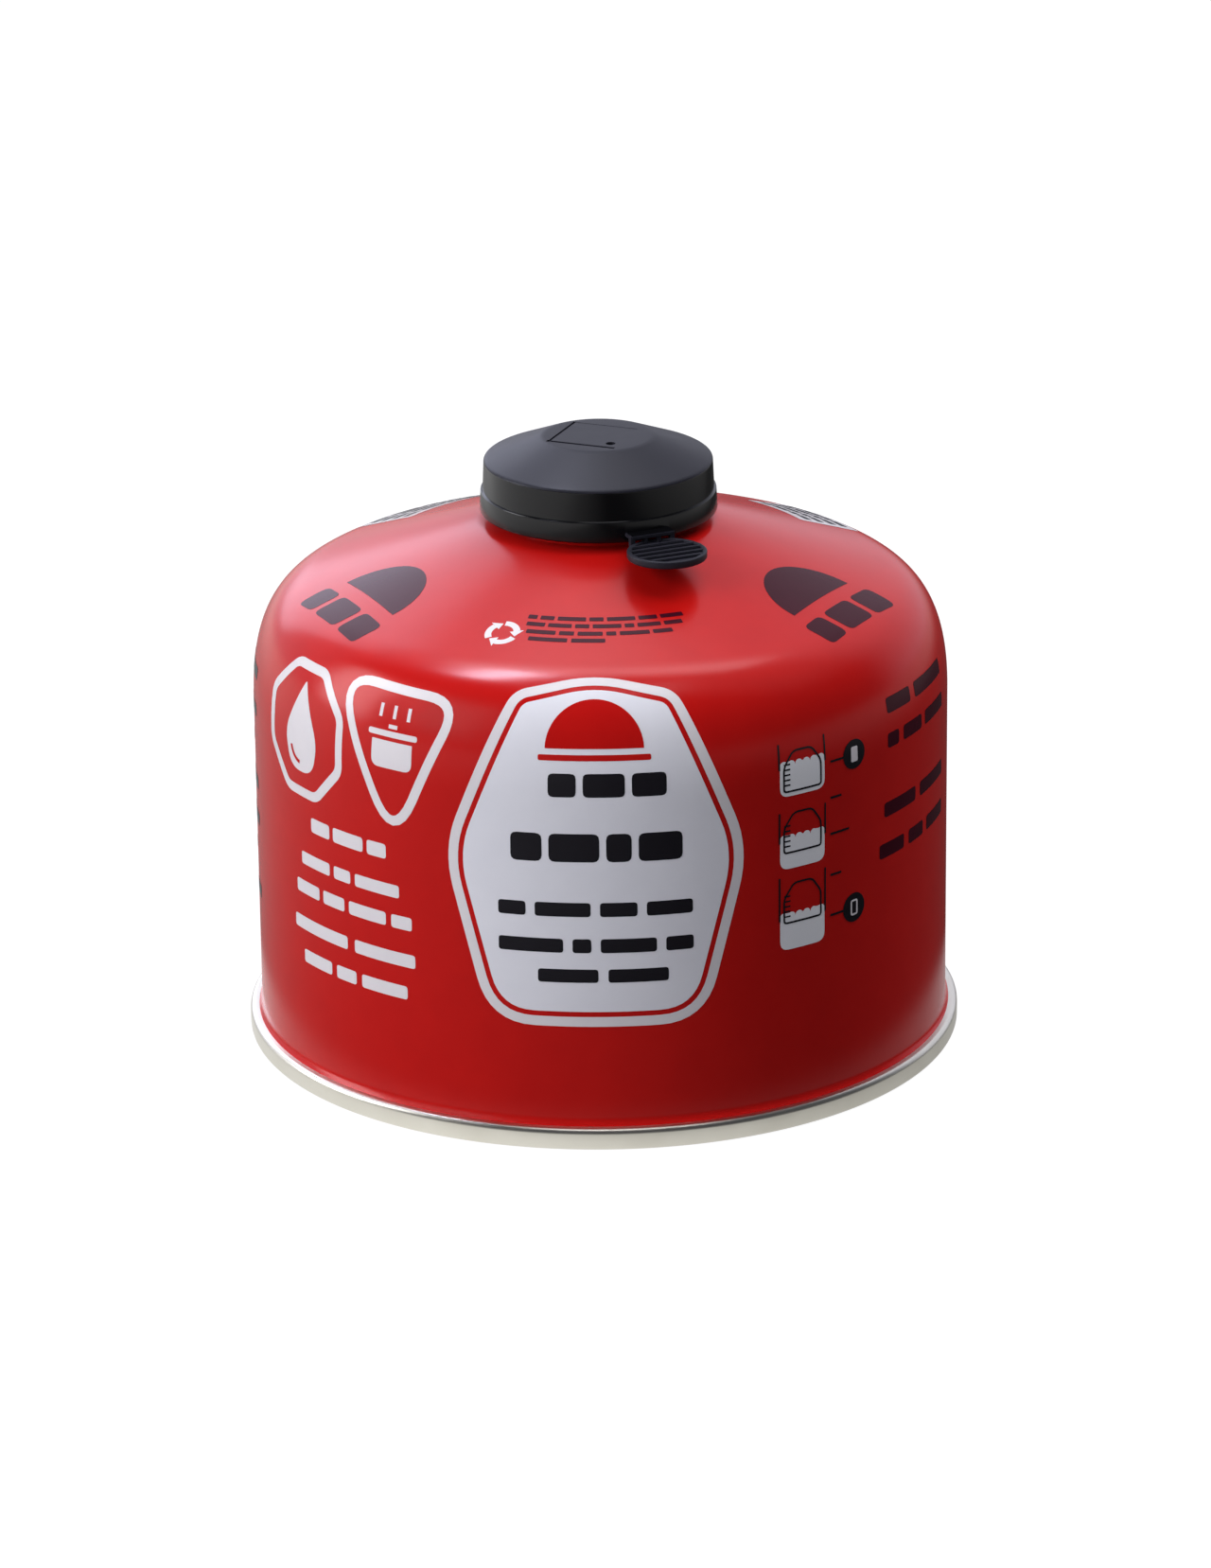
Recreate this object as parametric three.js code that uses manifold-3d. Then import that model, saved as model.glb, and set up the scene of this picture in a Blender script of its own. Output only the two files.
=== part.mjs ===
// Screw-valve fuel canister: a drawn steel can, its seamed-on base, a screw valve and a push-on cap.
// Millimetres, +Z up. The origin is the middle of the flat ring that the base stands on.
// The front, where the cap's pull tab hangs, faces -Y.

import * as THREE from 'three';
import { mergeVertices } from 'three/addons/utils/BufferGeometryUtils.js';
import Module from 'manifold-3d';

// Fits
const runningGap = 0.3;          // between pieces that are slipped or crimped together
const sheet = 0.4;               // tinplate of the base and of the valve cup

// Can: a straight wall, a rounded shoulder and a conical crown
const bodyRadius = 53.14;
const wallTop = 54.4;            // height where the wall starts to turn in
const shoulderWidth = 10.14;     // from the wall in to the crown
const shoulderRise = 18.15;      // from the wall's top up to the crown
const shoulderLowPull = 14.7;    // how long the shoulder stays close to the wall
const shoulderHighPull = 4.2;    // how long it stays close to the crown's slope
const crownSlope = 0.34;         // rise per millimetre inwards
const footFlare = 0.5;           // the wall opens a little just above the seam
const footFlareRise = 2.2;

// Neck: a flat ring at the top of the crown, with a rolled bead around the mouth
const neckFlatRadius = 17.4;
const neckUndercut = 0.9;        // the neck is this much inside the bead
const beadRadius = 15.2;
const beadHeight = 1.9;
const beadRise = 4.35;           // from the flat ring to the top of the bead
const beadCorner = 0.5;
const mouthRadius = 13.0;

// Base: a double seam, a chuck wall and a panel that is domed up into the can
const seamOverhang = 1.86;       // the seam stands out from the wall
const seamHeight = 3.4;
const seamCorner = 0.8;
const seamInnerCorner = 0.6;
const chuckInset = 0.9;          // the chuck wall's inner face is this much inside the can's wall
const chuckHeight = 4.6;
const chuckFillet = 1.2;
const panelHeight = 10.2;        // underside of the panel, at its middle

// Valve cup: a channel over the bead, a round well and a screw collar
const curlDepth = 2.4;           // from the cup's top down to the edge of its curl
const curlCorner = 0.5;
const wellDepth = 7.6;
const pedestalRadius = 6.6;
const pedestalHeight = 3.2;
const collarRadius = 5.56;       // outside the thread, 7/16 inch
const collarHeight = 9.2;
const collarChamfer = 0.4;
const collarMouthRadius = 3.2;

// Valve: a rubber seal under the collar's lip and the housing that is crimped below it
const sealThickness = 1.5;
const sealBoreRadius = 1.7;
const housingBoreDepth = 3.5;
const housingLength = 20.5;
const nozzleRadius = 3.0;
const nozzleLength = 4.0;

// Cap: a drafted skirt with a thicker band below, a cone and a small flat top
const capWall = 1.2;
const skirtGap = 0.98;           // between the cup's curl and the inside of the skirt
const bandDrop = 3.2;            // from the cup's top down to the skirt's lower edge
const bandDraft = 0.15;
const ledgeStep = 0.33;
const wallRise = 4.73;           // from the ledge up to the foot of the cone
const wallDraft = 0.18;
const capCorner = 1.2;
const coneRise = 3.53;
const capTopRadius = 8.46;
const seatRingRadius = 14.6;     // the ring inside the cap that rests on the cup
const seatRingWall = 1.2;
const snapBite = 0.3;            // how far the snap bead reaches under the curl
const snapBead = 0.5;

// Cap top: a shallow square panel and a vent hole
const panelSide = 10.0;
const panelDepth = 0.3;
const panelTurn = -24;           // degrees about +Z
const ventRadius = 0.75;
const ventAcross = 1.9;
const ventForward = 4.4;

// Pull tab: a ribbed disc that hangs from the band by thin fingers
const tabRadius = 6.0;
const tabTurn = 24;              // degrees to the right of the front
const tabGap = 0.8;              // between the band and the disc
const tabThickness = 0.8;
const tabDrop = 0.7;             // underside of the disc, below the skirt's lower edge
const tabRimWall = 0.7;
const tabRimHeight = 0.35;
const tabRibs = 5;
const tabRibWidth = 0.55;
const tabPlateWidth = 7.2;
const tabPlateThickness = 0.7;
const tabPlateReach = 1.9;       // outwards from the band
const tabFingers = 4;
const tabFingerWidth = 0.7;

// Facets around each turned piece
const canFacets = 64;
const capFacets = 48;
const valveFacets = 32;
const tabFacets = 32;
const ventFacets = 12;

// Steps along the round stretches of the outlines
const panelSteps = 5;
const shoulderSteps = 9;
const flareSteps = 3;
const cornerSteps = 3;

// Heights and radii that follow from the sizes above
const crownStartRadius = bodyRadius - shoulderWidth;
const crownStart = wallTop + shoulderRise;
const neckFlat = crownStart + crownSlope * (crownStartRadius - neckFlatRadius);
const neckRadius = beadRadius - neckUndercut;
const beadTop = neckFlat + beadRise;
const seamRadius = bodyRadius + seamOverhang;
const chuckRadius = bodyRadius - chuckInset;
const cupTop = beadTop + sheet;
const curlRadius = beadRadius + runningGap + sheet;
const cupWallRadius = mouthRadius - runningGap;
const cupFloor = cupTop - wellDepth;
const pedestalTop = cupFloor + pedestalHeight;
const collarTop = pedestalTop + collarHeight;
const sealTop = collarTop - sheet;
const sealBottom = sealTop - sealThickness;
const housingRadius = collarRadius - sheet - runningGap;
const housingBottom = sealBottom - housingLength;
const bandRadius = curlRadius + skirtGap + capWall;
const bandBottom = cupTop - bandDrop;
const ledgeRadius = bandRadius - bandDraft;
const wallFootRadius = ledgeRadius - ledgeStep;
const wallTopRadius = wallFootRadius - wallDraft;
const coneFoot = cupTop + wallRise;
const capTop = coneFoot + coneRise;

const toRadians = THREE.MathUtils.degToRad;

// Colours and finishes, one for each kind of surface
function surface(color, roughness, metalness) {
  return new THREE.MeshStandardMaterial({ color, roughness, metalness });
}

const redEnamel = surface('#c4161c', 0.22, 0.1);
const tinplate = surface('#b9b4a8', 0.3, 1.0);
const valvePlate = surface('#c9b98a', 0.35, 1.0);
const blackPolyethylene = surface('#1b1b1e', 0.45, 0.0);
const sealRubber = surface('#2a2a2a', 0.8, 0.0);
const whiteAcetal = surface('#e6e4dc', 0.4, 0.0);

// An outline of radius and height, drawn from point to point with lines, arcs and curves
class Outline {
  constructor(radius, height) {
    this.points = [new THREE.Vector2(radius, height)];
  }

  line(radius, height) {
    this.points.push(new THREE.Vector2(radius, height));
    return this;
  }

  // joins on at the curve's start, which is left out where the outline is already there
  along(curve, steps) {
    const sampled = curve.getPoints(steps);
    const last = this.points[this.points.length - 1];
    const joined = last.distanceTo(sampled[0]) < 1e-6;
    this.points.push(...sampled.slice(joined ? 1 : 0));
    return this;
  }

  arc(radius, height, bend, from, to, steps) {
    const turnsBack = to < from;
    return this.along(new THREE.EllipseCurve(radius, height, bend, bend, from, to, turnsBack), steps);
  }

  curve(near, far, end, steps) {
    const start = this.points[this.points.length - 1];
    const corners = [near, far, end].map(([radius, height]) => new THREE.Vector2(radius, height));
    return this.along(new THREE.CubicBezierCurve(start, ...corners), steps);
  }
}

// Turns an outline about +Z
function revolve(outline, facets) {
  const geometry = new THREE.LatheGeometry(outline.points, facets);
  geometry.rotateX(Math.PI / 2);
  return geometry;
}

function piece(name, geometry, material) {
  const mesh = new THREE.Mesh(geometry, material);
  mesh.name = name;
  return mesh;
}

// The base panel is an arc about a point on the axis, and a fillet joins it to the chuck wall.
// Both arcs keep their centres for every offset, so sheets and gaps stay even.
const filletCentreRadius = chuckRadius - chuckFillet;
const panelBow = panelHeight - chuckHeight - chuckFillet;
const panelSagitta = panelHeight - chuckHeight;
const panelRadius =
  (filletCentreRadius ** 2 + panelSagitta ** 2 - chuckFillet ** 2) / (2 * panelBow);
const panelCentre = panelHeight - panelRadius;
const panelEdgeAngle = Math.atan2(chuckHeight - panelCentre, filletCentreRadius);

function panelOutwards(outline, offset) {
  const bow = panelRadius + offset;
  const fillet = chuckFillet + offset;
  outline.arc(0, panelCentre, bow, Math.PI / 2, panelEdgeAngle, panelSteps);
  outline.arc(filletCentreRadius, chuckHeight, fillet, panelEdgeAngle, 0, cornerSteps);
}

function panelInwards(outline, offset) {
  const bow = panelRadius + offset;
  const fillet = chuckFillet + offset;
  outline.arc(filletCentreRadius, chuckHeight, fillet, 0, panelEdgeAngle, cornerSteps);
  outline.arc(0, panelCentre, bow, panelEdgeAngle, Math.PI / 2, panelSteps);
}

// Can with its fuel, closed and full, so it is one solid. It stands on the seam's flat top.
function canBody() {
  const insideBase = sheet + runningGap;
  const footRadius = bodyRadius + footFlare;
  const flareTop = seamHeight + footFlareRise;
  const flareMiddle = seamHeight + footFlareRise / 2;
  const wellFloor = cupFloor - sheet - runningGap;
  const boreRadius = housingRadius + runningGap;
  const outline = new Outline(0, panelHeight + insideBase);
  panelOutwards(outline, insideBase);
  outline
    .line(chuckRadius + insideBase, seamHeight)
    .line(footRadius, seamHeight)
    .curve([footRadius, flareMiddle], [bodyRadius, flareMiddle], [bodyRadius, flareTop], flareSteps)
    .line(bodyRadius, wallTop)
    .curve(
      [bodyRadius, wallTop + shoulderLowPull],
      [crownStartRadius + shoulderHighPull, crownStart - crownSlope * shoulderHighPull],
      [crownStartRadius, crownStart],
      shoulderSteps,
    )
    .line(neckFlatRadius, neckFlat)
    .line(neckRadius, neckFlat)
    .line(neckRadius, beadTop - beadHeight)
    .line(beadRadius, beadTop - beadHeight)
    .arc(beadRadius - beadCorner, beadTop - beadCorner, beadCorner, 0, Math.PI / 2, cornerSteps)
    .line(mouthRadius, beadTop)
    .line(mouthRadius, wellFloor)
    .line(boreRadius, wellFloor)
    .line(boreRadius, housingBottom - runningGap)
    .line(0, housingBottom - runningGap);
  return piece('can_body', revolve(outline, canFacets), redEnamel);
}

// Base end: the rolled seam is drawn as one ring, with the sheet of the panel inside it
function baseEnd() {
  const outerCentre = seamRadius - seamCorner;
  const innerCentre = chuckRadius + seamInnerCorner;
  const outline = new Outline(0, panelHeight);
  panelOutwards(outline, 0);
  outline
    .arc(innerCentre, seamInnerCorner, seamInnerCorner, Math.PI, Math.PI * 1.5, cornerSteps)
    .arc(outerCentre, seamCorner, seamCorner, -Math.PI / 2, 0, cornerSteps)
    .arc(outerCentre, seamHeight - seamCorner, seamCorner, 0, Math.PI / 2, cornerSteps)
    .line(chuckRadius + sheet, seamHeight);
  panelInwards(outline, sheet);
  return piece('base_end', revolve(outline, canFacets), tinplate);
}

// Valve cup: one pressing, from the curl over the can's bead to the lip of the screw collar
function valveCup() {
  const collarInside = collarRadius - sheet;
  const pedestalInside = pedestalRadius - sheet;
  const channelRadius = curlRadius - sheet;
  const wellRadius = cupWallRadius - sheet;
  const outline = new Outline(collarMouthRadius, collarTop - sheet);
  outline.line(collarInside, collarTop - sheet);
  outline.line(collarInside, pedestalTop - sheet);
  outline.line(pedestalInside, pedestalTop - sheet);
  outline.line(pedestalInside, cupFloor - sheet);
  outline.line(cupWallRadius, cupFloor - sheet);
  outline.line(cupWallRadius, beadTop);
  outline.line(channelRadius, beadTop);
  outline.line(channelRadius, cupTop - curlDepth);
  outline.line(curlRadius, cupTop - curlDepth);
  outline.arc(curlRadius - curlCorner, cupTop - curlCorner, curlCorner, 0, Math.PI / 2, cornerSteps);
  outline.line(wellRadius, cupTop);
  outline.line(wellRadius, cupFloor);
  outline.line(pedestalRadius, cupFloor);
  outline.line(pedestalRadius, pedestalTop);
  outline.line(collarRadius, pedestalTop);
  outline.line(collarRadius, collarTop - collarChamfer);
  outline.line(collarRadius - collarChamfer, collarTop);
  outline.line(collarMouthRadius, collarTop);
  outline.line(collarMouthRadius, collarTop - sheet);
  return piece('valve_cup', revolve(outline, capFacets), valvePlate);
}

// Rubber ring that the collar's lip presses down on
function valveSeal() {
  const outline = new Outline(sealBoreRadius, sealBottom);
  outline.line(housingRadius, sealBottom);
  outline.line(housingRadius, sealTop);
  outline.line(sealBoreRadius, sealTop);
  outline.line(sealBoreRadius, sealBottom);
  return piece('valve_seal', revolve(outline, valveFacets), sealRubber);
}

// Valve housing: closed round its pin and spring, with a nozzle that hangs into the can
function valveHousing() {
  const outline = new Outline(0, housingBottom);
  outline.line(nozzleRadius, housingBottom);
  outline.line(nozzleRadius, housingBottom + nozzleLength);
  outline.line(housingRadius, housingBottom + nozzleLength);
  outline.line(housingRadius, sealBottom);
  outline.line(sealBoreRadius, sealBottom);
  outline.line(sealBoreRadius, sealBottom - housingBoreDepth);
  outline.line(0, sealBottom - housingBoreDepth);
  return piece('valve_housing', revolve(outline, valveFacets), whiteAcetal);
}

// Joins and cuts of closed solids
const wasm = await Module();
wasm.setup();

function toSolid(geometry) {
  const bare = geometry.clone();
  bare.deleteAttribute('normal');
  bare.deleteAttribute('uv');
  const merged = mergeVertices(bare, 1e-4);
  const triangles = [];
  for (let i = 0; i < merged.index.count; i += 3) {
    const [a, b, c] = [merged.index.getX(i), merged.index.getX(i + 1), merged.index.getX(i + 2)];
    if (a !== b && b !== c && c !== a) triangles.push(a, b, c);
  }
  const vertProperties = new Float32Array(merged.attributes.position.array);
  const triVerts = new Uint32Array(triangles);
  return new wasm.Manifold(new wasm.Mesh({ numProp: 3, vertProperties, triVerts }));
}

function toGeometry(solid) {
  const mesh = solid.getMesh();
  const geometry = new THREE.BufferGeometry();
  geometry.setAttribute('position', new THREE.BufferAttribute(mesh.vertProperties, 3));
  geometry.setIndex(new THREE.BufferAttribute(mesh.triVerts, 1));
  geometry.computeVertexNormals();
  return geometry;
}

// A box from its lengths and the middle of its underside
function block(lengths, x, y, z) {
  const geometry = new THREE.BoxGeometry(...lengths);
  return geometry.translate(x, y, z + lengths[2] / 2);
}

// An upright disc from its radius, height and the middle of its underside
function disc(radius, height, facets, x, y, z) {
  const geometry = new THREE.CylinderGeometry(radius, radius, height, facets);
  geometry.rotateX(Math.PI / 2);
  return geometry.translate(x, y, z + height / 2);
}

// The cap's turned shell, with the snap bead and the ring that seats on the cup
function capShell() {
  const coneSlope = coneRise / (wallTopRadius - capTopRadius);
  const insideTop = capTop - capWall;
  const insideCone = (radius) => insideTop - coneSlope * Math.max(radius - capTopRadius, 0);
  const seatInside = seatRingRadius - seatRingWall;
  const skirtInside = bandRadius - capWall;
  const wallInside = wallTopRadius - capWall;
  const snapRadius = curlRadius - snapBite;
  const outline = new Outline(0, insideTop);
  outline.line(capTopRadius, insideTop);
  outline.line(seatInside, insideCone(seatInside));
  outline.line(seatInside, cupTop);
  outline.line(seatRingRadius, cupTop);
  outline.line(seatRingRadius, insideCone(seatRingRadius));
  outline.line(wallInside, insideCone(wallInside));
  outline.line(wallInside, cupTop + ledgeStep);
  outline.line(skirtInside, cupTop - ledgeStep);
  outline.line(skirtInside, bandBottom + 2 * snapBead);
  outline.line(snapRadius, bandBottom + snapBead);
  outline.line(snapRadius, bandBottom);
  outline.line(bandRadius, bandBottom);
  outline.line(ledgeRadius, cupTop);
  outline.line(wallFootRadius, cupTop);
  const cornerFoot = wallTopRadius - capCorner;
  outline.line(wallTopRadius, coneFoot - capCorner / 2);
  outline.curve(
    [wallTopRadius, coneFoot],
    [wallTopRadius - capCorner / 3, coneFoot + coneSlope * capCorner / 3],
    [cornerFoot, coneFoot + coneSlope * capCorner],
    cornerSteps,
  );
  outline.line(capTopRadius, capTop);
  outline.line(0, capTop);
  return toSolid(revolve(outline, capFacets));
}

// The pull tab, laid out along +X and then turned to its place beside the front
function pullTab() {
  const middle = bandRadius + tabGap + tabRadius;
  const underside = bandBottom - tabDrop;
  const discTop = underside + tabThickness;
  const pocketRadius = tabRadius - tabRimWall;
  const rim = disc(tabRadius, tabThickness + tabRimHeight, tabFacets, middle, 0, underside);
  const pocket = disc(pocketRadius, tabRimHeight * 2, tabFacets, middle, 0, discTop);
  let tab = toSolid(rim).subtract(toSolid(pocket));

  // ribs across the pull, inside the rim
  const ribPitch = (2 * pocketRadius) / (tabRibs + 1);
  const ribSpan = disc(pocketRadius + tabRimWall / 2, 2 * tabRimHeight, tabFacets, middle, 0, discTop - tabRimHeight);
  const ribSpace = toSolid(ribSpan);
  for (let i = 1; i <= tabRibs; i += 1) {
    const x = middle - pocketRadius + i * ribPitch;
    const rib = block([tabRibWidth, 2 * tabRadius, 2 * tabRimHeight], x, 0, discTop - tabRimHeight);
    tab = tab.add(toSolid(rib).intersect(ribSpace));
  }

  // a narrow plate on the band, and fingers that drop from it to the disc
  const plateStart = bandRadius - capWall / 2;
  const plateLength = capWall / 2 + tabPlateReach;
  const plateBottom = discTop + tabRimHeight + tabFingerWidth;
  const plate = block(
    [plateLength, tabPlateWidth, tabPlateThickness],
    plateStart + plateLength / 2, 0, plateBottom,
  );
  tab = tab.add(toSolid(plate));
  const fingerPitch = (tabPlateWidth - tabFingerWidth) / (tabFingers - 1);
  const fingerLength = tabPlateReach - tabGap;
  const fingerHeight = plateBottom + tabPlateThickness / 2 - underside - tabThickness / 2;
  for (let i = 0; i < tabFingers; i += 1) {
    const y = -tabPlateWidth / 2 + tabFingerWidth / 2 + i * fingerPitch;
    const edge = Math.sqrt(tabRadius ** 2 - y ** 2) - tabRimWall / 2;
    const start = middle - edge;
    const finger = block(
      [fingerLength, tabFingerWidth, fingerHeight],
      Math.min(start, bandRadius + tabPlateReach - fingerLength / 2), y, underside + tabThickness / 2,
    );
    tab = tab.add(toSolid(finger));
  }
  return tab;
}

// Cap: one black moulding with its tab
function cap() {
  const turned = toGeometry(pullTab()).rotateZ(toRadians(tabTurn - 90));
  const panel = block([panelSide, panelSide, 2 * panelDepth], 0, 0, capTop - panelDepth);
  panel.rotateZ(toRadians(panelTurn));
  const vent = disc(ventRadius, 4 * capWall, ventFacets, ventAcross, -ventForward, capTop - 2 * capWall);
  const solid = capShell()
    .add(toSolid(turned))
    .subtract(toSolid(panel))
    .subtract(toSolid(vent));
  return piece('cap', toGeometry(solid), blackPolyethylene);
}

const canister = new THREE.Group();
canister.name = 'fuel_canister';
canister.add(canBody(), baseEnd(), valveCup(), valveSeal(), valveHousing(), cap());

export default canister;
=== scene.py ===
import math

import bmesh
import bpy
from mathutils import Matrix, Vector


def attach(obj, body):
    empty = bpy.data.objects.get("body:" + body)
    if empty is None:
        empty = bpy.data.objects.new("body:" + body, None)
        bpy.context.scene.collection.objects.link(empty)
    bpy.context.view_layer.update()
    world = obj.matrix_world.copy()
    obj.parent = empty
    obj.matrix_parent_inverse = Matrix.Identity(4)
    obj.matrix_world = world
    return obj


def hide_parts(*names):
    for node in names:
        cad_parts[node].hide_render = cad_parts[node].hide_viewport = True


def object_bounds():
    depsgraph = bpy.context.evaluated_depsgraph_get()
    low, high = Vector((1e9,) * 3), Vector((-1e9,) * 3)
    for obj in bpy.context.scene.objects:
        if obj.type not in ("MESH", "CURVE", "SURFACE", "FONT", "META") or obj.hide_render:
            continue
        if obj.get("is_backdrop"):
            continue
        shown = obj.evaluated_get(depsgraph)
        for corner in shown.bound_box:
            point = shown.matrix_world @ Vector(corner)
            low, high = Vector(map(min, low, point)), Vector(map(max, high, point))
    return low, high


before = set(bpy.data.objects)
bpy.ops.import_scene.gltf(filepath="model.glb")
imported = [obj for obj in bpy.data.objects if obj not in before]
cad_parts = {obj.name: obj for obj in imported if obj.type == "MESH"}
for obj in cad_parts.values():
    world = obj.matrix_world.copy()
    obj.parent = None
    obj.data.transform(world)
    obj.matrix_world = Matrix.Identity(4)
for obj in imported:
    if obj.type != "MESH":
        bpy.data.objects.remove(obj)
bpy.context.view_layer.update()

# Can
# A drawn tinplate shell with a straight wall, a rounded shoulder and a conical crown, full of fuel.
# It is spun from its outline, finer than the frame's solid, and stands on the seam of its base.

MM = 0.001
CAN_RADIUS = 53.14
SEAM_HEIGHT = 3.4
WALL_TOP = 54.4
CROWN_START_RADIUS = 43.0
CROWN_START = 72.55
CROWN_SLOPE = 0.34
SHOULDER_PULL = (14.7, 4.2)
FOOT_RADIUS = CAN_RADIUS + 0.5
FOOT_LEAN = 0.2
FOOT_PULLS = (0.3, 0.6)
FOOT_RISE = 1.3
NECK_FLAT_RADIUS = 17.4
NECK_FLAT = CROWN_START + CROWN_SLOPE * (CROWN_START_RADIUS - NECK_FLAT_RADIUS)
NECK_RADIUS = 14.3
BEAD_RADIUS = 15.2
BEAD_TOP = NECK_FLAT + 4.35
BEAD_HEIGHT = 1.9
BEAD_BEND = 0.5
MOUTH_RADIUS = 13.0
WELL_FLOOR = BEAD_TOP - 7.9
BORE_RADIUS = 5.16
BORE_FLOOR = BEAD_TOP - 17.5
CROWN_SUPPORT = 1.2
SHEET = 0.4
UNDER_GAP = SHEET + 0.3
CHUCK_RADIUS = CAN_RADIUS - 0.9
CHUCK_HEIGHT = 4.6
CHUCK_FILLET = 1.2
PANEL_HEIGHT = 10.2
CAN_TURNS = 256


def arc(radius, height, bend, start, end, steps):
    """Points of a round stretch of an outline, from one angle in degrees to another."""
    points = []
    for i in range(steps + 1):
        angle = math.radians(start + (end - start) * i / steps)
        points.append((radius + bend * math.cos(angle), height + bend * math.sin(angle)))
    return points


def curve(a, b, c, d, steps):
    """Points of a curve that leaves a towards b and reaches d from c."""
    points = []
    for i in range(steps + 1):
        t = i / steps
        weights = ((1 - t) ** 3, 3 * t * (1 - t) ** 2, 3 * t * t * (1 - t), t ** 3)
        points.append(tuple(sum(w * p[k] for w, p in zip(weights, (a, b, c, d))) for k in (0, 1)))
    return points


def spin(name, outline, turns, closed=False):
    """A turned piece from an outline of (radius, height) in millimetres, which may close on itself."""
    shape = bmesh.new()
    rings = []
    for radius, height in outline:
        if radius < 1e-6:
            rings.append([shape.verts.new((0, 0, height * MM))])
            continue
        ring = []
        for i in range(turns):
            angle = 2 * math.pi * i / turns
            place = (radius * math.cos(angle) * MM, radius * math.sin(angle) * MM, height * MM)
            ring.append(shape.verts.new(place))
        rings.append(ring)
    pairs = list(zip(rings, rings[1:]))
    if closed:
        pairs.append((rings[-1], rings[0]))
    for low, high in pairs:
        for i in range(turns):
            j = (i + 1) % turns
            if len(low) == 1 and len(high) == 1:
                break
            if len(low) == 1:
                shape.faces.new((low[0], high[j], high[i]))
            elif len(high) == 1:
                shape.faces.new((low[i], low[j], high[0]))
            else:
                shape.faces.new((low[i], low[j], high[j], high[i]))
    bmesh.ops.recalc_face_normals(shape, faces=shape.faces)
    return from_shape(name, shape)


def from_shape(name, shape, sharp=35):
    """A smooth-shaded object, with the edges over that many degrees left crisp."""
    mesh = bpy.data.meshes.new(name)
    shape.to_mesh(mesh)
    shape.free()
    mesh.shade_smooth()
    mesh.set_sharp_from_angle(angle=math.radians(sharp))
    piece = bpy.data.objects.new(name, mesh)
    bpy.context.scene.collection.objects.link(piece)
    return piece


def linear(colour):
    """An sRGB hex colour as linear red, green, blue and alpha."""
    channels = [int(colour[i:i + 2], 16) / 255 for i in (1, 3, 5)]
    return tuple(c / 12.92 if c <= 0.04045 else ((c + 0.055) / 1.055) ** 2.4 for c in channels) + (1,)


def node(material, kind, settings=None, inputs=None):
    """Adds a node. Settings are its own fields; inputs are values, or sockets to link from."""
    tree = material.node_tree
    made = tree.nodes.new(kind)
    for field, value in (settings or {}).items():
        setattr(made, field, value)
    for socket, value in (inputs or {}).items():
        if isinstance(value, bpy.types.NodeSocket):
            tree.links.new(value, made.inputs[socket])
        else:
            made.inputs[socket].default_value = value
    return made


def new_material(name):
    """A material with no nodes yet."""
    material = bpy.data.materials.new(name)
    material.use_nodes = True
    material.node_tree.nodes.clear()
    return material


def finish_with(material, shader):
    """The material with its shader led to the output."""
    node(material, "ShaderNodeOutputMaterial", inputs={"Surface": shader.outputs[0]})
    return material


MOTTLE_PITCH = 6.0
PEEL_PITCH = 1.2
PEEL_DEPTH = 0.02


def glossy_ink(name, colour, shade, roughness=0.22, gloss=0.2):
    """Baked enamel or ink: a faint mottle of the film, and orange peel that softens its reflections."""
    material = new_material(name)
    place = node(material, "ShaderNodeTexCoord").outputs["Object"]
    mottle = node(material, "ShaderNodeTexNoise", inputs={
        "Vector": place, "Scale": 1 / (MOTTLE_PITCH * MM), "Detail": 3.0})
    tone = node(material, "ShaderNodeMix", {"data_type": "RGBA"}, {
        "Factor": mottle.outputs["Fac"], "A": linear(colour), "B": linear(shade)})
    peel = node(material, "ShaderNodeTexNoise", inputs={
        "Vector": place, "Scale": 1 / (PEEL_PITCH * MM), "Detail": 2.0})
    bump = node(material, "ShaderNodeBump", inputs={
        "Height": peel.outputs["Fac"], "Strength": 0.05, "Distance": PEEL_DEPTH * MM})
    shader = node(material, "ShaderNodeBsdfPrincipled", inputs={
        "Base Color": tone.outputs["Result"], "Roughness": roughness, "IOR": 1.5,
        "Specular IOR Level": gloss, "Normal": bump.outputs["Normal"]})
    return finish_with(material, shader)


# the base panel bulges up as an arc about a point on the axis, and a fillet joins it to its chuck wall
fillet_radius = CHUCK_RADIUS - CHUCK_FILLET
panel_rise = PANEL_HEIGHT - CHUCK_HEIGHT
panel_bow = (fillet_radius ** 2 + panel_rise ** 2 - CHUCK_FILLET ** 2) / (2 * (panel_rise - CHUCK_FILLET))
panel_centre = PANEL_HEIGHT - panel_bow
panel_edge = math.degrees(math.atan2(CHUCK_HEIGHT - panel_centre, fillet_radius))


def panel_outwards(offset):
    """The panel's outline from the axis out to the chuck wall, moved off its underside."""
    bowed = arc(0, panel_centre, panel_bow + offset, 90, panel_edge, 24)
    bowed[0] = (0, PANEL_HEIGHT + offset)
    return bowed + arc(fillet_radius, CHUCK_HEIGHT, CHUCK_FILLET + offset, panel_edge, 0, 8)[1:]


shoulder = curve(
    (CAN_RADIUS, WALL_TOP),
    (CAN_RADIUS, WALL_TOP + SHOULDER_PULL[0]),
    (CROWN_START_RADIUS + SHOULDER_PULL[1], CROWN_START - CROWN_SLOPE * SHOULDER_PULL[1]),
    (CROWN_START_RADIUS, CROWN_START),
    40,
)
foot = curve(
    (FOOT_RADIUS, SEAM_HEIGHT), (FOOT_RADIUS - FOOT_LEAN, SEAM_HEIGHT + FOOT_PULLS[0]),
    (CAN_RADIUS, SEAM_HEIGHT + FOOT_PULLS[1]), (CAN_RADIUS, SEAM_HEIGHT + FOOT_RISE), 10,
)
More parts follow.
